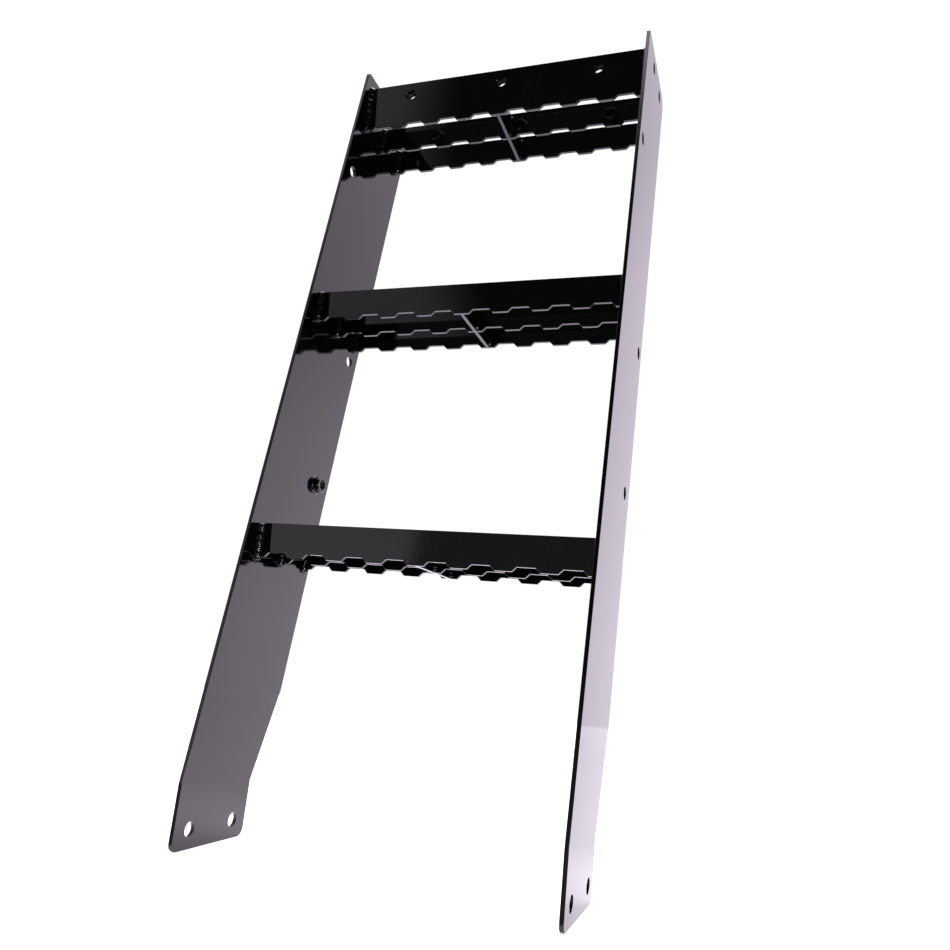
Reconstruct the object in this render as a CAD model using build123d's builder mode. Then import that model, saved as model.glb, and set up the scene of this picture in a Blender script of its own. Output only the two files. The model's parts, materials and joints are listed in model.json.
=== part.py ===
from build123d import *
import os
from math import cos, radians, tan

os.makedirs("parts", exist_ok=True)

# Bolt-on access ladder: two bent side plates, three welded treads of three serrated bars each,
# and threaded weld nuts.  Millimetres.  +X is to the right, +Y to the rear, +Z up.  The origin
# is the middle of the tab bolt pattern, halfway between the two mounting tabs.

# ---- Driving dimensions ---------------------------------------------------------------------
inner_width = 381.0         # clear width between the side plates
sheet = 4.2                 # gauge of the side plates, tread bars and spacers
lean = 9.05                 # degrees that the side plates lean back above the tabs

tab_bolt_pitch = 72.3       # between the two bolt holes of a tab
tab_front_margin = 24.4     # from the front bolt to the tab's front edge
tab_back_margin = 22.8      # from the back bolt to the tab's back edge
tab_bolt_drop = 18.9        # from the bolts down to the tab's lower edge
front_bend_height = 44.9    # above the bolts, where the front edge starts to lean
knee_above_bolts = 39.1     # height where the tab's back edge turns outward
hip_above_knee = 95.8       # height over which the back edge slopes out to full depth

lower_tread_height = 279.4  # tooth tips of the lowest tread above the tab bolts
tread_spacing = 304.2       # from one tread to the next
head_margin = 17.1          # side plates above the upper tread's front bar

bar_height = 37.8           # tread bar, tooth tips to opposite edge
bar_pitch = 51.2            # front face to front face of neighbouring bars
bar_setback = 26.6          # plate's front edge to the front bar's face, at tip level
bar_back_margin = 7.96      # rear bar's back face to the plate's back edge, at tip level
tooth_height = 4.8          # depth of the serrations
tooth_slope_run = 4.8       # length of each sloping flank
tooth_tip_width = 18.1      # flat at the tip of a tooth
notch_count = 8             # notches along a bar, with half a tooth left at each end
spacer_drop = 4.8           # from the bars' upper edge down to the spacers'

bolt_hole_d = 15.0          # every plain bolt hole
thread_bore_d = 12.1        # minor diameter of the threaded weld nuts
nut_seat = 2.5              # width of the ring on which a round weld nut sits
nut_chamfer = 1.0           # at the free end, outside
thread_chamfer = 0.4        # at the free end, at the mouth of the thread
nut_length = 8.2            # thin nuts, on the side plates and behind the upper front bar
bar_nut_pitch = 129.0       # between the holes of the upper front bar
bar_nut_rise = 10.9         # those holes above the other bars' upper edge
bar_nut_margin = 18.4       # from those holes up to the front bar's upper edge

head_hole_drop = 20.2       # two holes at the head of each side plate, below its top edge
head_hole_setback = 50.5    # from the front edge to the first of them
head_hole_pitch = 55.2      # from the first of them to the second
shoulder_hole_drop = 75.7   # single hole below the upper tread's tips
shoulder_hole_setback = 20.8        # from the front edge
waist_hole_drop = 18.6      # single hole below the middle tread's tips
waist_hole_inset = 19.3     # from the back edge
side_nut_rise = 106.3       # side weld nut above the lower tread's tips
side_nut_inset = 28.0       # from the back edge

tab_corner_r = 9.0           # lower corners of the tabs
knee_r = 12.0                # bends of the outline
head_front_r = 6.0           # upper front corner of a side plate
head_back_r = 14.0           # upper back corner
edge_round = 0.5            # cut edges, eased and coated
weld_leg = 5.4              # fillet welds on the tread ends
weld_overrun = 2.5          # how far those run on below the tooth tips
spacer_weld_leg = 3.2
nut_weld_leg = 2.2
weld_crown = 0.6            # how far a bead bulges past its straight fillet

# ---- Sizes that follow ----------------------------------------------------------------------
half_width = inner_width / 2
lean_slope = tan(radians(lean))
plate_run = bar_setback + 2 * bar_pitch + sheet + bar_back_margin    # plate's depth along Y
tooth_pitch = inner_width / notch_count
front_bar_height = bar_height + bar_nut_rise + bar_nut_margin    # the upper tread's front bar
spacer_height = bar_height - spacer_drop
nut_od = bolt_hole_d + 2 * nut_seat
tab_front_y = -tab_bolt_pitch / 2 - tab_front_margin
tab_back_y = tab_bolt_pitch / 2 + tab_back_margin
tread_names = ["lower", "middle", "upper"]
tip_heights = {name: lower_tread_height + i * tread_spacing for i, name in enumerate(tread_names)}
plate_top = tip_heights["upper"] + front_bar_height + head_margin
hip_height = knee_above_bolts + hip_above_knee


def front_edge(height):
    """Y of the side plate's leaning front edge at a height."""
    return tab_front_y + (height - front_bend_height) * lean_slope


def back_edge(height):
    """Y of the side plate's leaning back edge at a height."""
    return front_edge(height) + plate_run


hip_y = back_edge(hip_height)


def save(piece, name):
    """Label a finished piece and write it to its own STEP file."""
    piece.part.label = name
    export_step(piece.part, f"parts/{name}.step")


# ---- Side plates ----------------------------------------------------------------------------
head_hole_z = plate_top - head_hole_drop
head_hole_y = front_edge(head_hole_z) + head_hole_setback
shoulder_hole_z = tip_heights["upper"] - shoulder_hole_drop
waist_hole_z = tip_heights["middle"] - waist_hole_drop
side_nut_z = tip_heights["lower"] + side_nut_rise
side_nut_y = back_edge(side_nut_z) - side_nut_inset
plate_holes = [
    (-tab_bolt_pitch / 2, 0),
    (tab_bolt_pitch / 2, 0),
    (head_hole_y, head_hole_z),
    (head_hole_y + head_hole_pitch, head_hole_z),
    (front_edge(shoulder_hole_z) + shoulder_hole_setback, shoulder_hole_z),
    (back_edge(waist_hole_z) - waist_hole_inset, waist_hole_z),
    (side_nut_y, side_nut_z),
]
plate_corners = [
    ((tab_front_y, -tab_bolt_drop), tab_corner_r),
    ((tab_front_y, front_bend_height), knee_r),
    ((front_edge(plate_top), plate_top), head_front_r),
    ((back_edge(plate_top), plate_top), head_back_r),
    ((hip_y, hip_height), knee_r),
    ((tab_back_y, knee_above_bolts), knee_r),
    ((tab_back_y, -tab_bolt_drop), tab_corner_r),
]


def side_plate(name, left_face_x):
    """One flat side plate with its tab, bends and bolt holes, cut from sheet."""
    with BuildPart() as plate:
        with BuildSketch(Plane.YZ.offset(left_face_x)):
            with BuildLine():
                points = [point for point, radius in plate_corners]
                radii = [radius for point, radius in plate_corners]
                FilletPolyline(*points, radius=radii, close=True)
            make_face()
            with Locations(*plate_holes):
                Circle(bolt_hole_d / 2, mode=Mode.SUBTRACT)
        extrude(amount=sheet)
        for face in plate.faces().filter_by(Axis.X):
            fillet(face.outer_wire().edges(), edge_round)
    save(plate, name)


side_plate("left_side_plate", -half_width - sheet)
side_plate("right_side_plate", half_width)


# ---- Treads ---------------------------------------------------------------------------------
def bar_face(tread, index):
    """Y of the front face of a tread's bar: index 0 is the front bar, 2 the rear one."""
    return front_edge(tip_heights[tread]) + bar_setback + index * bar_pitch


def carries_nuts(tread, index):
    """Only the front bar of the upper tread is a wide one with bolt holes."""
    return tread == "upper" and index == 0


def height_of_bar(tread, index):
    """From the tooth tips of a bar to its opposite edge."""
    return front_bar_height if carries_nuts(tread, index) else bar_height


def serrated_bar(name, face_y, tip_z, height, holes):
    """A flat bar on edge, notched along its lower edge."""
    notch_mouth = tooth_pitch - tooth_tip_width
    notch_floor = notch_mouth - 2 * tooth_slope_run
    notch = [
        (-notch_mouth / 2, 0),
        (notch_mouth / 2, 0),
        (notch_floor / 2, tooth_height),
        (-notch_floor / 2, tooth_height),
    ]
    with BuildPart() as bar:
        with BuildSketch(Plane.XZ.offset(-face_y - sheet)):
            with Locations((0, tip_z)):
                Rectangle(inner_width, height, align=(Align.CENTER, Align.MIN))
            with Locations((0, tip_z)):
                with GridLocations(tooth_pitch, 1, notch_count, 1):
                    Polygon(*notch, align=None, mode=Mode.SUBTRACT)
            if holes:
                with Locations(*holes):
                    Circle(bolt_hole_d / 2, mode=Mode.SUBTRACT)
        extrude(amount=sheet)
        for face in bar.faces().filter_by(Axis.Y):
            long_edges = face.outer_wire().edges().filter_by(Axis.Z, reverse=True)
            fillet(long_edges, edge_round)
    save(bar, name)


def spacer(name, front_y, tip_z):
    """A short plate on edge that ties the back of one bar to the face of the next."""
    with BuildPart() as plate:
        with BuildSketch(Plane.YZ.offset(-sheet / 2)):
            with Locations((front_y, tip_z)):
                Rectangle(bar_pitch - sheet, spacer_height, align=Align.MIN)
        extrude(amount=sheet)
        fillet(plate.edges().filter_by(Axis.Y), edge_round)
    save(plate, name)


upper_bar_hole_z = tip_heights["upper"] + bar_height + bar_nut_rise
upper_bar_holes = [(x, upper_bar_hole_z) for x in (-bar_nut_pitch, 0, bar_nut_pitch)]

for tread in tread_names:
    tip = tip_heights[tread]
    for index, place in enumerate(["front", "centre", "rear"]):
        serrated_bar(
            f"{tread}_tread_{place}_bar",
            bar_face(tread, index),
            tip,
            height_of_bar(tread, index),
            upper_bar_holes if carries_nuts(tread, index) else (),
        )
    for index, place in enumerate(["front", "rear"]):
        spacer(f"{tread}_tread_{place}_spacer", bar_face(tread, index) + sheet, tip)


# ---- Fillet welds of the treads -------------------------------------------------------------
def beads(name, corners, leg, low_z):
    """Upright beads in corners (x, y, along_x, along_y, high_z); +1 or -1 is the way one opens."""
    crown = leg / 2 + weld_crown * cos(radians(45))
    with BuildPart() as group:
        for x, y, along_x, along_y, high_z in corners:
            with BuildSketch(Plane.XY.offset(low_z)):
                with BuildLine():
                    Polyline((x + along_x * leg, y), (x, y), (x, y + along_y * leg))
                    ThreePointArc(
                        (x, y + along_y * leg),
                        (x + along_x * crown, y + along_y * crown),
                        (x + along_x * leg, y),
                    )
                make_face()
            extrude(amount=high_z - low_z)
    save(group, name)


def end_welds(tread, side):
    """The beads that join a tread's three bars to one side plate; side is -1 left or +1 right."""
    tip = tip_heights[tread]
    corners = [
        (side * half_width, bar_face(tread, index), -side, -1, tip + height_of_bar(tread, index))
        for index in range(3)
    ]
    name = f"{tread}_tread_{'left' if side < 0 else 'right'}_end_welds"
    beads(name, corners, weld_leg, tip - weld_overrun)


def spacer_welds(tread):
    """The beads at both ends and on both sides of a tread's two spacers."""
    low_z = tip_heights[tread] + spacer_weld_leg / 2
    high_z = tip_heights[tread] + spacer_height - spacer_weld_leg / 2
    corners = []
    for index in range(2):
        for side in (-1, 1):
            corners.append((side * sheet / 2, bar_face(tread, index) + sheet, side, 1, high_z))
            corners.append((side * sheet / 2, bar_face(tread, index + 1), side, -1, high_z))
    beads(f"{tread}_tread_spacer_welds", corners, spacer_weld_leg, low_z)


for tread in tread_names:
    end_welds(tread, -1)
    end_welds(tread, 1)
    spacer_welds(tread)


# ---- Weld nuts ------------------------------------------------------------------------------
def weld_nuts(name, seats):
    """Round threaded nuts; each seat plane's local X points away from the face it sits on."""
    bore = thread_bore_d / 2
    outer = nut_od / 2
    half_section = [
        (0, bore),
        (0, outer),
        (nut_length - nut_chamfer, outer),
        (nut_length, outer - nut_chamfer),
        (nut_length, bore + thread_chamfer),
        (nut_length - thread_chamfer, bore),
    ]
    with BuildPart() as nuts:
        for seat in seats:
            with BuildSketch(seat):
                Polygon(*half_section, align=None)
            revolve(axis=Axis(seat.origin, seat.x_dir))
    save(nuts, name)


def ring_welds(name, seats):
    """The rings of weld round the feet of the nuts on the same seats."""
    outer = nut_od / 2
    crown = nut_weld_leg / 2 + weld_crown * cos(radians(45))
    with BuildPart() as rings:
        for seat in seats:
            with BuildSketch(seat):
                with BuildLine():
                    Polyline((nut_weld_leg, outer), (0, outer), (0, outer + nut_weld_leg))
                    ThreePointArc(
                        (0, outer + nut_weld_leg), (crown, outer + crown), (nut_weld_leg, outer)
                    )
                make_face()
            revolve(axis=Axis(seat.origin, seat.x_dir))
    save(rings, name)


for side_name, side in (("left", -1), ("right", 1)):
    nut_foot = (side * half_width, side_nut_y, side_nut_z)
    side_seat = [Plane(nut_foot, x_dir=(-side, 0, 0), z_dir=(0, 1, 0))]
    weld_nuts(f"{side_name}_side_weld_nut", side_seat)
    ring_welds(f"{side_name}_side_nut_weld", side_seat)

bar_seats = [
    Plane((x, bar_face("upper", 0) + sheet, upper_bar_hole_z), x_dir=(0, 1, 0), z_dir=(1, 0, 0))
    for x, z in upper_bar_holes
]
weld_nuts("upper_bar_weld_nuts", bar_seats)
ring_welds("upper_bar_nut_welds", bar_seats)
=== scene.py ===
import json
import random
from math import ceil, cos, exp, pi, radians, sin, sqrt

import bmesh
import bpy
from mathutils import Matrix, Vector, noise


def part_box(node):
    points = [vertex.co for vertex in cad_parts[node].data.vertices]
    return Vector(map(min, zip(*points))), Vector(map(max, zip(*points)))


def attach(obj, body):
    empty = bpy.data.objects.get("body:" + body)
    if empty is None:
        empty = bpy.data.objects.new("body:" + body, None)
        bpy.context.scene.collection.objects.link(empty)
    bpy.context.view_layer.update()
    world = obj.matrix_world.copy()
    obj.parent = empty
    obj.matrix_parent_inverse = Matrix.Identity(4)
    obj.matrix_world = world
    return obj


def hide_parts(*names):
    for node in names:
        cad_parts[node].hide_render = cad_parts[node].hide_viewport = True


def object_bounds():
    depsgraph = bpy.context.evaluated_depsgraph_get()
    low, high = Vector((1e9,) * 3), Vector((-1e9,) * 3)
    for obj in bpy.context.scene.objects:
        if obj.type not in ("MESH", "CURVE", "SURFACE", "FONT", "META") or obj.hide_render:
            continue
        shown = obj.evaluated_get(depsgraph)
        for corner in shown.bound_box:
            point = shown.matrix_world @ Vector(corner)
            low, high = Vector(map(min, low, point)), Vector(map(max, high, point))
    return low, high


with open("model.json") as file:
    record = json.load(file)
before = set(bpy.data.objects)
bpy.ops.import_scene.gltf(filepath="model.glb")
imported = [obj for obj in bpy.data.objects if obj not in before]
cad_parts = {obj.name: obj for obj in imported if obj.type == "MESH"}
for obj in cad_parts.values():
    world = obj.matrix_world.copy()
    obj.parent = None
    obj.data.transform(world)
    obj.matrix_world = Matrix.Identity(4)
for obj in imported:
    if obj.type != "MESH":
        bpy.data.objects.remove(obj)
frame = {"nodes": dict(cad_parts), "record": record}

# A gloss black access ladder, one weldment: two side plates, three treads of serrated bars, weld
# nuts and beads.  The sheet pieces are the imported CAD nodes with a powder-coat material.  Beads
# and nuts are rebuilt here with ripples, spatter and real threads.  Metres throughout.

MM = 0.001
cad_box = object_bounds()
scene = bpy.context.scene
treads = ["lower", "middle", "upper"]
bar_places = ["front", "centre", "rear"]
spacer_places = ["front", "rear"]
sides = {"left": -1, "right": 1}

# ---- What the frame says -------------------------------------------------------------------
mounts = {mount["name"]: mount for mount in frame["record"]["mounts"]}
plate_inner_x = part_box("right_side_plate")[0].x
thread_minor_r = mounts["left_side_thread"]["dims"]["r_mm"] * MM
nut_low, nut_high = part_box("left_side_weld_nut")
nut_length = nut_high.x - nut_low.x
nut_outer_r = (nut_high.z - nut_low.z) / 2

# ---- Sizes of the looks --------------------------------------------------------------------
thread_pitch = 2.0 * MM
thread_depth = 0.60 * MM        # shallow, because paint fills the roots
thread_start = 0.62             # where the thread's crest meets the nut's foot, in turns
nut_chamfer = 1.0 * MM
thread_chamfer = 0.4 * MM
end_weld_leg = 5.4 * MM
spacer_weld_leg = 3.2 * MM
nut_weld_leg = 2.2 * MM
sink = 0.12 * MM                # how far a bead's toes reach into the sheet under it
# How far the beads at a tread's ends run on below the tooth tips.
end_overrun = {"lower": 5.0 * MM, "middle": 2.5 * MM, "upper": 2.5 * MM}
spacer_weld_inset = 1.5 * MM    # how far a spacer's beads stop short of its edges

# Seeds of the unevenness, one series for each kind of bead.
end_weld_seeds = {"left": 100, "right": 110}
spacer_weld_seed = 200
tread_seed_step = 20
side_nut_seed = 300
bar_nut_seed = 310

# ---- Camera --------------------------------------------------------------------------------
camera_place = Vector((0.3431, -0.7850, 0.1823))
camera_heading = 20.01          # degrees to the left of +Y
camera_pitch = 13.08            # upward
camera_roll = 5.90              # its right side raised
camera_lens = 31.46             # millimetres
sensor_width = 36.0             # millimetres


def make_camera():
    """The camera low in front of the ladder's right side, looking up at it."""
    data = bpy.data.cameras.new("camera")
    data.lens = camera_lens
    data.sensor_width = sensor_width
    data.clip_start = 0.01
    data.clip_end = 100.0
    camera = bpy.data.objects.new("camera", data)
    turn = Matrix.Rotation(radians(camera_heading), 4, "Z")
    tilt = Matrix.Rotation(radians(90 + camera_pitch), 4, "X")
    roll = Matrix.Rotation(radians(camera_roll), 4, "Z")
    camera.matrix_world = Matrix.Translation(camera_place) @ turn @ tilt @ roll
    scene.collection.objects.link(camera)
    scene.camera = camera


# ---- Node helpers --------------------------------------------------------------------------
def add_node(tree, kind, inputs=(), **settings):
    """A shader node with its settings; inputs maps sockets to values or to other sockets."""
    node = tree.nodes.new(kind)
    for name, value in settings.items():
        setattr(node, name, value)
    for socket, value in dict(inputs).items():
        if isinstance(value, bpy.types.NodeSocket):
            tree.links.new(value, node.inputs[socket])
        else:
            node.inputs[socket].default_value = value
    return node


def new_material(name):
    """An empty node material with its output."""
    material = bpy.data.materials.new(name)
    material.use_nodes = True
    material.node_tree.nodes.clear()
    return material, material.node_tree, add_node(material.node_tree, "ShaderNodeOutputMaterial")


def noise_field(tree, coords, scale, detail=2.0, roughness=0.5):
    """Noise over the row frame, scale in waves per metre."""
    node = add_node(
        tree,
        "ShaderNodeTexNoise",
        {"Vector": coords, "Scale": scale, "Detail": detail, "Roughness": roughness},
    )
    return node.outputs["Fac"]


def mapped(tree, value, span, levels=(0.0, 1.0), smooth=True):
    """A value carried from the two ends of a span to two levels, and held beyond them."""
    node = add_node(
        tree,
        "ShaderNodeMapRange",
        {"Value": value, 1: span[0], 2: span[1], 3: levels[0], 4: levels[1]},
        interpolation_type="SMOOTHSTEP" if smooth else "LINEAR",
    )
    return node.outputs[0]


def maths(tree, operation, *values):
    """One arithmetic step."""
    return add_node(tree, "ShaderNodeMath", enumerate(values), operation=operation).outputs[0]


def two_slopes(tree, value, stops, levels):
    """A straight run between three levels at three stops, held beyond the outer two."""
    first = mapped(tree, value, stops[:2], levels[:2], smooth=False)
    second = mapped(tree, value, stops[1:], (1.0, levels[2] / levels[1]), smooth=False)
    return maths(tree, "MULTIPLY", first, second)


def mixed(tree, share, first, second):
    """The first value at share 0 and the second at share 1."""
    node = add_node(tree, "ShaderNodeMix", {0: share, 2: first, 3: second}, data_type="FLOAT")
    return node.outputs[0]


def mixed_colour(tree, share, first, second):
    """The first colour at share 0 and the second at share 1, each as red, green and blue."""
    colours = {0: share, 6: (*first, 1.0), 7: (*second, 1.0)}
    return add_node(tree, "ShaderNodeMix", colours, data_type="RGBA").outputs[2]


def stretched(tree, coords, factors):
    """Coordinates multiplied by one factor for each axis."""
    inputs = {0: coords, 1: factors}
    return add_node(tree, "ShaderNodeVectorMath", inputs, operation="MULTIPLY").outputs[0]


def bumped(tree, height, depth, normal=None):
    """The surface's direction with a relief laid over it, which is depth deep."""
    inputs = {"Height": height, "Strength": 1.0, "Distance": depth}
    if normal is not None:
        inputs["Normal"] = normal
    return add_node(tree, "ShaderNodeBump", inputs).outputs["Normal"]


# ---- Powder coat ---------------------------------------------------------------------------
# Each grain is a noise: waves per metre, detail, roughness.
smudge_grain = (13.0, 5.0, 0.62)
haze_grain = (3.1, 3.0, 0.55)
speck_grain = (900.0, 1.0, 0.4)
orange_peel_grain = (420.0, 2.0, 0.45)
sheet_wave_grain = (7.0, 1.0, 0.4)
score_grain = (1500.0, 2.0, 0.6)
# The span of each noise over which its marks come up.
smudge_span = (0.50, 0.78)
haze_span = (0.35, 0.75)
speck_span = (0.74, 0.80)
smudge_share = 0.75             # of the film that dulls the paint
speck_share = 0.25
clean_colour = (0.0009, 0.00085, 0.0010)
dulled_colour = (0.007, 0.0066, 0.0074)
roughness_levels = (0.05, 0.13)  # clean and dulled
paint_ior = 1.5
orange_peel_depth = 0.022 * MM
sheet_wave_depth = 0.10 * MM
score_depth = 0.03 * MM
score_squeeze = 0.04            # a score mark's width over its length
edge_span = (0.2, 0.7)          # of facing along the thickness, where the scores fade out


def scored_edges(tree, coords, grain_axis):
    """Fine marks on a sheet's cut edges, drawn out along its thickness."""
    squeeze = Vector((1.0, 1.0, 1.0))
    squeeze[grain_axis] = score_squeeze
    true_normal = add_node(tree, "ShaderNodeNewGeometry").outputs["True Normal"]
    facing = add_node(tree, "ShaderNodeSeparateXYZ", {0: true_normal}).outputs[grain_axis]
    on_edge = mapped(tree, maths(tree, "ABSOLUTE", facing), edge_span, (1.0, 0.0))
    lines = noise_field(tree, stretched(tree, coords, squeeze), *score_grain)
    return maths(tree, "MULTIPLY", lines, on_edge)


def powder_coat(name, peel=1.0, dust=1.0, grain_axis=None):
    """Gloss black powder coat: orange peel, a slow wave of the sheet, and handling marks.
    grain_axis is the sheet's thickness direction, along which its cut edges are scored."""
    material, tree, output = new_material(name)
    coords = add_node(tree, "ShaderNodeTexCoord").outputs["Object"]

    smudge = mapped(tree, noise_field(tree, coords, *smudge_grain), smudge_span)
    haze = mapped(tree, noise_field(tree, coords, *haze_grain), haze_span)
    specks = mapped(tree, noise_field(tree, coords, *speck_grain), speck_span)
    marks = maths(tree, "MULTIPLY", smudge, haze)
    film = maths(tree, "MULTIPLY", marks, smudge_share * dust)
    film = maths(tree, "MULTIPLY_ADD", specks, speck_share * dust, film)

    orange_peel = noise_field(tree, coords, *orange_peel_grain)
    sheet_wave = noise_field(tree, coords, *sheet_wave_grain)
    normal = bumped(tree, sheet_wave, sheet_wave_depth)
    normal = bumped(tree, orange_peel, orange_peel_depth * peel, normal)
    if grain_axis is not None:
        normal = bumped(tree, scored_edges(tree, coords, grain_axis), score_depth, normal)

    shader = add_node(
        tree,
        "ShaderNodeBsdfPrincipled",
        {
            "Base Color": mixed_colour(tree, film, clean_colour, dulled_colour),
            "Roughness": mapped(tree, film, (0.0, 1.0), roughness_levels, smooth=False),
            "IOR": paint_ior,
            "Normal": normal,
        },
    )
    tree.links.new(shader.outputs[0], output.inputs["Surface"])
    return material


# ---- Mesh helpers --------------------------------------------------------------------------
def finished(name, mesh, material, node):
    """A bmesh made into a piece that stands for a CAD node."""
    bmesh.ops.recalc_face_normals(mesh, faces=mesh.faces)
    for face in mesh.faces:
        face.smooth = True
    data = bpy.data.meshes.new(name)
    mesh.to_mesh(data)
    mesh.free()
    data.materials.append(material)
    piece = bpy.data.objects.new(name, data)
    scene.collection.objects.link(piece)
    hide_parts(node)
    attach(piece, "root")


def skin(mesh, rings, closed):
    """Quads between rings of points; each ring is closed, and so is the row of rings if asked."""
    rows = [[mesh.verts.new(point) for point in ring] for ring in rings]
    pairs = list(zip(rows, rows[1:] + rows[:1])) if closed else list(zip(rows, rows[1:]))
    for near, far in pairs:
        for i in range(len(near)):
            j = (i + 1) % len(near)
            mesh.faces.new((near[i], near[j], far[j], far[i]))
    if not closed:
        mesh.faces.new(rows[0])
        mesh.faces.new(list(reversed(rows[-1])))


# ---- Weld beads ----------------------------------------------------------------------------
step_along = 0.38 * MM
steps_across = 14
crown = 0.17                    # rise of a bead's middle above its flat, in legs
ripple_pitch = 2.3 * MM
ripple_rise = 0.13 * MM
ripple_shape = 0.8              # below 1 the ripples' tops are broader than a sine's
ripple_bow = 0.55               # how far a ripple's middle runs ahead, in pitches
ripple_wander = 0.35            # how unevenly the ripples are spaced, in pitches
lump_rise = 0.24 * MM
lump_size = 2.8 * MM
start_lump = 1.8                # how much rougher a bead is where it was started
start_reach = 1.1               # how far that goes on, in legs
end_reach = 0.6                 # length of a bead's rounded end, in legs
end_blunt = 0.3 * MM            # how much of that rounded end is missing
leg_wander = 0.16               # how much a leg's length varies
wander_length = 6 * MM          # over what length it varies
wander_loop = 1.1               # the same for a ring, as a circle's radius in the noise
wander_slow = 0.8               # the ripples' spacing varies more slowly, by this factor
seed_stride = 3.7               # how far apart the beads are in the noise
other_leg = Vector((9, 9, 9))   # how far apart a bead's two legs are in the noise

drop_radii = (0.25, 0.62)       # millimetres
drop_reach = (1.15, 2.4)        # how far drops lie from the corner, in legs
drop_subdivisions = 2
end_weld_drops = 5
nut_ring_drops = 6


def bead(mesh, path, length, leg, seed, closed=False):
    """One rippled fillet bead.  path(t) gives the corner and the two directions it lies along."""
    count = ceil(length / step_along)
    rings = []
    for i in range(count if closed else count + 1):
        t = i / count
        run = t * length
        corner, along_a, along_b = path(t)
        if closed:
            from_end = length
            start = 1.0
            loop_x = wander_loop * cos(2 * pi * t)
            uneven = Vector((seed * seed_stride + loop_x, wander_loop * sin(2 * pi * t), 0.0))
        else:
            from_end = min(run, length - run)
            start = 1 + start_lump * exp(-((run / (start_reach * leg)) ** 2))
            uneven = Vector((seed * seed_stride, run / wander_length, 0.0))
        rounding = min(1.0, (from_end + end_blunt) / (end_reach * leg))
        swell = sqrt(max(0.0, 1 - (1 - rounding) ** 2))
        reach_a = leg * swell * (1 + leg_wander * noise.noise(uneven))
        reach_b = leg * swell * (1 + leg_wander * noise.noise(uneven + other_leg))
        foot_a = corner + along_a * reach_a - along_b * sink
        foot_b = corner + along_b * reach_b - along_a * sink
        outward = (along_a + along_b).normalized()
        ring = [corner - along_a * sink - along_b * sink]
        for k in range(steps_across + 1):
            s = k / steps_across
            bow = 1 - (2 * s - 1) ** 2
            if closed:
                # A whole number of ripples, so that the ring closes.
                phase = round(length / ripple_pitch) * t - ripple_bow * bow
            else:
                wander = ripple_wander * noise.noise(uneven * wander_slow)
                phase = run / ripple_pitch - ripple_bow * bow + wander
            ripple = ripple_rise * (abs(sin(pi * phase)) ** ripple_shape - 0.5)
            point = foot_a.lerp(foot_b, s)
            lump = lump_rise * start * noise.noise(point / lump_size + Vector((seed, 0, 0)))
            ring.append(point + outward * bow * swell * (crown * leg + ripple + lump))
        rings.append(ring)
    skin(mesh, rings, closed)


def spatter(mesh, path, leg, drops, dice):
    """Small round drops of weld metal on the two faces beside a bead."""
    for _ in range(drops):
        corner, along_a, along_b = path(dice.random())
        radius = dice.uniform(*drop_radii) * MM
        away = leg * dice.uniform(*drop_reach)
        side = along_a if dice.random() < 0.5 else along_b
        centre = corner + side * away
        shape = Matrix.Translation(centre) @ Matrix.Diagonal((radius, radius, radius, 1.0))
        bmesh.ops.create_icosphere(mesh, subdivisions=drop_subdivisions, radius=1.0, matrix=shape)


def straight(start, end, along_a, along_b):
    """A straight path for a bead between two points of its corner."""
    return lambda t: (start.lerp(end, t), along_a, along_b)


def ring_path(centre, axis, radius):
    """A circular path for a bead round a nut's foot; axis points away from the sheet."""
    side = axis.orthogonal().normalized()
    across = axis.cross(side)

    def path(t):
        radial = side * cos(2 * pi * t) + across * sin(2 * pi * t)
        return centre + radial * radius, radial, axis

    return path


def end_welds(tread, side_name, side, material, seed):
    """The upright beads that join the three bars of a tread to one side plate."""
    mesh = bmesh.new()
    dice = random.Random(seed)
    for index, place in enumerate(bar_places):
        low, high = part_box(f"{tread}_tread_{place}_bar")
        bottom = Vector((side * plate_inner_x, low.y, low.z - end_overrun[tread]))
        top = Vector((side * plate_inner_x, low.y, high.z))
        path = straight(bottom, top, Vector((-side, 0, 0)), Vector((0, -1, 0)))
        bead(mesh, path, (top - bottom).length, end_weld_leg, seed + index)
        spatter(mesh, path, end_weld_leg, end_weld_drops, dice)
    node = f"{tread}_tread_{side_name}_end_welds"
    finished(f"{tread}_tread_{side_name}_rippled_beads", mesh, material, node)


def spacer_welds(tread, material, seed):
    """The beads at both ends and on both sides of a tread's spacers."""
    mesh = bmesh.new()
    for index, place in enumerate(spacer_places):
        low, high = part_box(f"{tread}_tread_{place}_spacer")
        for side in sides.values():
            x = low.x if side < 0 else high.x
            for y, away in ((low.y, 1), (high.y, -1)):
                bottom = Vector((x, y, low.z + spacer_weld_inset))
                top = Vector((x, y, high.z - spacer_weld_inset))
                path = straight(bottom, top, Vector((side, 0, 0)), Vector((0, away, 0)))
                corner_number = 4 * index + 2 * (side > 0) + (away > 0)
                length = (top - bottom).length
                bead(mesh, path, length, spacer_weld_leg, seed + corner_number)
    node = f"{tread}_tread_spacer_welds"
    finished(f"{tread}_tread_spacer_rippled_beads", mesh, material, node)


# ---- Threaded nuts -------------------------------------------------------------------------
nut_segments = 72
levels_per_pitch = 10
chamfer_steps = 3
root_shape = 1.4                # above 1 the thread's roots are narrower than a sine's


def thread_radius(height, turn):
    """Radius of the bore's wall at a height and a turn of 0 to 1: a thread with rounded roots."""
    phase = (height / thread_pitch - turn + thread_start) % 1.0
    return thread_minor_r + thread_depth * sin(pi * phase) ** root_shape


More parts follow.
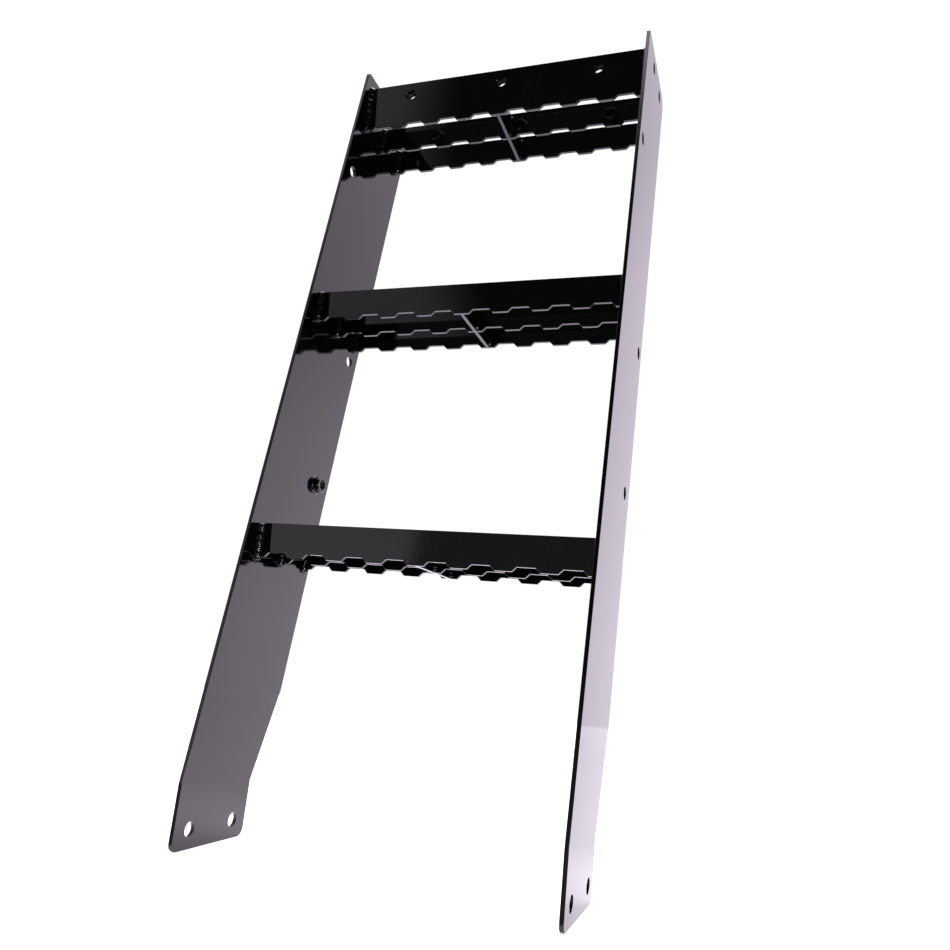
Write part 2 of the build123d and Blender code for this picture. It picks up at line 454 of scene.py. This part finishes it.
def threaded_nut(mesh, seat, axis):
    """A round nut standing on its seat, chamfered at the free end and threaded inside."""
    side = axis.orthogonal().normalized()
    across = axis.cross(side)
    outside = [(0.0, nut_outer_r), (nut_length - nut_chamfer, nut_outer_r)]
    for i in range(1, chamfer_steps + 1):
        share = i / chamfer_steps
        outside.append((nut_length - nut_chamfer * (1 - share), nut_outer_r - nut_chamfer * share))
    mouth = thread_minor_r + thread_chamfer
    levels = ceil(nut_length / thread_pitch * levels_per_pitch)
    rings = []
    for j in range(nut_segments):
        turn = j / nut_segments
        radial = side * cos(2 * pi * turn) + across * sin(2 * pi * turn)
        profile = list(outside)
        for i in range(levels + 1):
            height = nut_length * (1 - i / levels)
            radius = thread_radius(height, turn)
            open_at = mouth - (nut_length - height)
            profile.append((height, max(radius, open_at)))
        rings.append([seat + axis * height + radial * radius for height, radius in profile])
    skin(mesh, rings, closed=True)


def nuts_and_rings(nut_node, ring_node, seats, nut_material, bead_material, seed):
    """The nuts of one node and the weld rings round their feet; seats are (point, axis)."""
    mesh = bmesh.new()
    for seat, axis in seats:
        threaded_nut(mesh, seat, axis)
    finished(nut_node.replace("weld_nut", "threaded_nut"), mesh, nut_material, nut_node)
    mesh = bmesh.new()
    dice = random.Random(seed)
    ring_length = 2 * pi * (nut_outer_r + nut_weld_leg / 2)
    for index, (seat, axis) in enumerate(seats):
        path = ring_path(seat, axis, nut_outer_r)
        bead(mesh, path, ring_length, nut_weld_leg, seed + index, closed=True)
        spatter(mesh, path, nut_weld_leg, nut_ring_drops, dice)
    name = ring_node.replace("weld", "rippled_ring")
    finished(name, mesh, bead_material, ring_node)


# ---- Studio --------------------------------------------------------------------------------
world_level = 1.05
dome_radius = 9.0
round_segments = 96                     # round the dome and round the floor
# Places on the dome: heights and distances across or forward are parts of its radius.
backdrop_heights = (0.05, 0.50, 0.62)
backdrop_levels = (1.50, 1.11, 0.88)
right_backdrop_heights = (0.05, 0.30, 0.46)
right_backdrop_levels = (1.78, 1.42, 0.95)
right_backdrop_across = (0.20, 0.40)    # from none of it to all of it
wall_heights = (0.14, 0.42)
wall_levels = (0.82, 0.44)
wall_top_heights = (0.69, 0.79)
wall_top_lift = 0.5
room_heights = (0.16, 0.40)
room_levels = (0.19, 0.03)
ceiling_heights = (0.78, 0.95)
glow_heights = (0.860, 0.880)           # the front edge of the light from above
glow_level = 2.2
glow_leftward = (-0.25, 0.05)
glow_forward = (0.0, 0.3)
front_tint = (1.075, 0.99, 1.07)
open_tint = (1.075, 0.985, 1.13)
# Angles on the dome are degrees from straight in front (-Y), positive towards the left (-X).
wall_end = (80, 125)                    # the wall gives way to the backdrop
room_end = (-135, -100)                 # the backdrop gives way to the room
# The edge between the room and the wall, as a start and an end angle at its foot, and how much
# each turns over the two rises.
edge_rises = ((0.14, 0.43), (0.43, 0.61))
edge_start = 23.4
edge_start_turns = (-4.8, 6.4)
edge_end = 24.5
edge_end_turns = (1.0, 6.0)

# A sheet that only reflections see, glowing faintly: painted shade where the floor in front of the
# ladder is reflected.
shade_sheet_corners = ((-2.2, -3.0), (2.2, -0.07))
shade_sheet_lift = 1.0 * MM
shade_sheet_grain = 60.0                      # waves per metre
shade_sheet_glow_levels = (0.26, 0.34)
shade_sheet_glow_tint = (1.0, 0.96, 1.0, 1.0)

floor_radius = 3.2
floor_grain = 2.0                       # waves per metre
floor_colours = ((0.88, 0.84, 0.90), (0.92, 0.88, 0.94))
floor_roughness = 0.6
floor_glow_tint = (1.05, 0.99, 1.10, 1.0)
# The floor's glow is painted light: a pool under the ladder that fills in its shadow, and more
# light far off.
light_pool_centre = (0.0, 0.12, 0.0)
light_pool_shape = (0.3, 1.0, 1.0)            # below 1 draws the pool out along that axis
light_pool_reaches = (0.02, 0.22, 0.50)
light_pool_levels = (0.65, 0.08, 0.0)
far_floor_glow_start = 1.0
far_floor_glow_levels = (0.52, 0.85)
noise_span = (0.3, 0.7)                 # where most of a noise's values lie


def area_light(name, place, aim, width, height, brightness):
    """A soft box that faces its aim; its surface looks equally bright at any size."""
    data = bpy.data.lights.new(name, "AREA")
    data.shape = "RECTANGLE"
    data.size = width
    data.size_y = height
    data.energy = brightness * pi * width * height
    light = bpy.data.objects.new(name, data)
    light.location = place
    light.rotation_euler = (Vector(aim) - Vector(place)).to_track_quat("-Z", "Y").to_euler()
    scene.collection.objects.link(light)


def studio_piece(name, mesh, material, height=0.0, hidden_from=()):
    """A bmesh made into a piece of the studio, hidden from the kinds of ray that are named."""
    data = bpy.data.meshes.new(name)
    mesh.to_mesh(data)
    mesh.free()
    data.materials.append(material)
    piece = bpy.data.objects.new(name, data)
    piece.location.z = height
    scene.collection.objects.link(piece)
    for ray in hidden_from:
        setattr(piece, f"visible_{ray}", False)


def give_light(material, tree, output, colour, strength):
    """Make a material shine.  Bounced rays find it, and it isn't sampled as a lamp is."""
    emission = add_node(tree, "ShaderNodeEmission", {"Color": colour, "Strength": strength})
    tree.links.new(emission.outputs[0], output.inputs["Surface"])
    material.cycles.emission_sampling = "NONE"


def backdrop_light(tree, across, height):
    """The pale backdrop behind the ladder, brighter low down, the more so towards its right."""
    backdrop = two_slopes(tree, height, backdrop_heights, backdrop_levels)
    right_backdrop = two_slopes(tree, height, right_backdrop_heights, right_backdrop_levels)
    to_right = mapped(tree, across, right_backdrop_across)
    return mixed(tree, to_right, backdrop, right_backdrop)


def edge_angle(tree, height, angle, turns):
    """One side of the edge between room and wall: its angle at a height."""
    angle = radians(angle)
    for rise, turn in zip(edge_rises, turns):
        share = mapped(tree, height, rise, smooth=False)
        angle = maths(tree, "MULTIPLY_ADD", share, radians(turn), angle)
    return angle


def front_light(tree, azimuth, height):
    """The unlit room and the grey wall to its left.  The edge between them is clean near the
    horizon, and softer above it."""
    wall = mapped(tree, height, wall_heights, wall_levels, smooth=False)
    wall_top = mapped(tree, height, wall_top_heights, (0.0, wall_top_lift))
    room = mapped(tree, height, room_heights, room_levels)
    start = edge_angle(tree, height, edge_start, edge_start_turns)
    end = edge_angle(tree, height, edge_end, edge_end_turns)
    past_edge = mapped(tree, azimuth, (start, end))
    return mixed(tree, past_edge, room, maths(tree, "ADD", wall, wall_top))


def head_glow(tree, to_left, to_front, height):
    """The front edge of the light from above, seen only in the heads of the side plates."""
    glow = mapped(tree, height, glow_heights, (0.0, glow_level), smooth=False)
    glow = maths(tree, "MULTIPLY", glow, mapped(tree, to_left, glow_leftward))
    return maths(tree, "MULTIPLY", glow, mapped(tree, to_front, glow_forward))


def studio_dome():
    """A dome that only reflections and soft light see: a pale backdrop behind the ladder and
    above it, a grey wall to the front left, and the unlit room in front and to the right."""
    material, tree, output = new_material("studio_dome")
    coords = add_node(tree, "ShaderNodeTexCoord").outputs["Object"]
    unit = add_node(tree, "ShaderNodeVectorMath", {0: coords}, operation="NORMALIZE").outputs[0]
    across, forward, height = add_node(tree, "ShaderNodeSeparateXYZ", {0: unit}).outputs
    to_left = maths(tree, "MULTIPLY", across, -1.0)
    to_front = maths(tree, "MULTIPLY", forward, -1.0)
    azimuth = maths(tree, "ARCTAN2", to_left, to_front)

    past_wall = mapped(tree, azimuth, [radians(angle) for angle in wall_end])
    before_room = mapped(tree, azimuth, [radians(angle) for angle in room_end], (1.0, 0.0))
    ceiling = mapped(tree, height, ceiling_heights)
    open_side = maths(tree, "MAXIMUM", past_wall, before_room)
    open_side = maths(tree, "MAXIMUM", open_side, ceiling)
    front = front_light(tree, azimuth, height)
    light = mixed(tree, open_side, front, backdrop_light(tree, across, height))
    light = maths(tree, "ADD", light, head_glow(tree, to_left, to_front, height))
    give_light(material, tree, output, mixed_colour(tree, open_side, front_tint, open_tint), light)

    mesh = bmesh.new()
    bmesh.ops.create_uvsphere(
        mesh,
        u_segments=round_segments,
        v_segments=round_segments // 2,
        radius=dome_radius,
    )
    studio_piece("studio_dome", mesh, material, hidden_from=["camera"])


def reflected_shade_sheet():
    """A dark sheet on the floor in front of the ladder, glowing faintly and unevenly: painted
    shade in the floor's reflection.  Only reflections see it.
    """
    material, tree, output = new_material("reflected_shade_sheet")
    coords = add_node(tree, "ShaderNodeTexCoord").outputs["Object"]
    # painted shade: an uneven glow, far dimmer than the floor, seen only in reflections
    shade_sheet_glow = mapped(tree, noise_field(tree, coords, shade_sheet_grain), noise_span, shade_sheet_glow_levels)
    give_light(material, tree, output, shade_sheet_glow_tint, shade_sheet_glow)

    (left, front), (right, back) = shade_sheet_corners
    corners = [(left, front), (right, front), (right, back), (left, back)]
    mesh = bmesh.new()
    mesh.faces.new([mesh.verts.new((x, y, 0.0)) for x, y in corners])
    height = cad_box[0].z + shade_sheet_lift
    studio_piece("reflected_shade_sheet", mesh, material, height, ["camera", "diffuse", "shadow"])


def studio_floor():
    """The pale floor, which glows: a painted pool of light under the ladder that fills in its
    shadow, and painted light again far off, where it meets the backdrop."""
    material, tree, output = new_material("studio_floor")
    coords = add_node(tree, "ShaderNodeTexCoord").outputs["Object"]
    tone = mapped(tree, noise_field(tree, coords, floor_grain), noise_span)
    from_light_pool = add_node(
        tree,
        "ShaderNodeVectorMath",
        {0: stretched(tree, coords, light_pool_shape), 1: light_pool_centre},
        operation="DISTANCE",
    ).outputs["Value"]
    # painted light: a glowing pool under the ladder in place of its shadow, and a glow far off
    light_pool = two_slopes(tree, from_light_pool, light_pool_reaches, light_pool_levels)
    far_floor_glow = mapped(tree, from_light_pool, (far_floor_glow_start, floor_radius), far_floor_glow_levels)
    shader = add_node(
        tree,
        "ShaderNodeBsdfPrincipled",
        {
            "Base Color": mixed_colour(tree, tone, *floor_colours),
            "Roughness": floor_roughness,
            "Emission Color": floor_glow_tint,
            "Emission Strength": maths(tree, "ADD", light_pool, far_floor_glow),
        },
    )
    tree.links.new(shader.outputs[0], output.inputs["Surface"])
    material.cycles.emission_sampling = "NONE"

    mesh = bmesh.new()
    bmesh.ops.create_circle(mesh, cap_ends=True, segments=round_segments, radius=floor_radius)
    studio_piece("studio_floor", mesh, material, cad_box[0].z)


def make_studio():
    """A pale world, the dome, the dark sheet of painted shade that only reflections see, the floor
    with its painted glow, a large soft box overhead, and a small bright one low down to the right."""
    world = bpy.data.worlds.new("studio")
    world.use_nodes = True
    world.node_tree.nodes["Background"].inputs["Color"].default_value = (1.0, 1.0, 1.0, 1.0)
    world.node_tree.nodes["Background"].inputs["Strength"].default_value = world_level
    scene.world = world
    scene.view_settings.view_transform = "Standard"
    studio_dome()
    reflected_shade_sheet()
    studio_floor()
    aim = (cad_box[0] + cad_box[1]) / 2
    area_light("overhead_box", (0.0, 0.5, 3.4), aim, width=2.0, height=2.0, brightness=8.2)
    area_light("low_strip", (1.9, -1.3, 0.14), aim, width=0.8, height=0.25, brightness=20.0)


# ---- The scene -----------------------------------------------------------------------------
make_camera()
make_studio()

plate_paint = powder_coat("plate_powder_coat", grain_axis=0)
bar_paint = powder_coat("bar_powder_coat", dust=0.7, grain_axis=1)
nut_paint = powder_coat("nut_powder_coat", peel=1.6, dust=0.8)
bead_paint = powder_coat("bead_powder_coat", peel=1.8, dust=0.8)

paints = {"side_plates": plate_paint, "tread_bars": bar_paint}
for part in frame["record"]["subparts"]:
    paint = paints.get(part["material_slot"])
    if paint:
        node = frame["nodes"][part["node"]]
        node.data.materials.clear()
        node.data.materials.append(paint)

for row, tread in enumerate(treads):
    for side_name, side in sides.items():
        seed = end_weld_seeds[side_name] + tread_seed_step * row
        end_welds(tread, side_name, side, bead_paint, seed)
    spacer_welds(tread, bead_paint, spacer_weld_seed + tread_seed_step * row)

for number, (side_name, side) in enumerate(sides.items()):
    thread = mounts[f"{side_name}_side_thread"]["pos_m"]
    seat = Vector((side * plate_inner_x, thread[1], thread[2]))
    nuts_and_rings(
        f"{side_name}_side_weld_nut",
        f"{side_name}_side_nut_weld",
        [(seat, Vector((-side, 0, 0)))],
        nut_paint,
        bead_paint,
        side_nut_seed + number,
    )

bar_back_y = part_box("upper_tread_front_bar")[1].y
bar_threads = [mounts[f"upper_bar_{name}_thread"]["pos_m"] for name in ("left", "middle", "right")]
bar_seats = [(Vector((x, bar_back_y, z)), Vector((0, 1, 0))) for x, y, z in bar_threads]
nuts_and_rings(
    "upper_bar_weld_nuts",
    "upper_bar_nut_welds",
    bar_seats,
    nut_paint,
    bead_paint,
    bar_nut_seed,
)
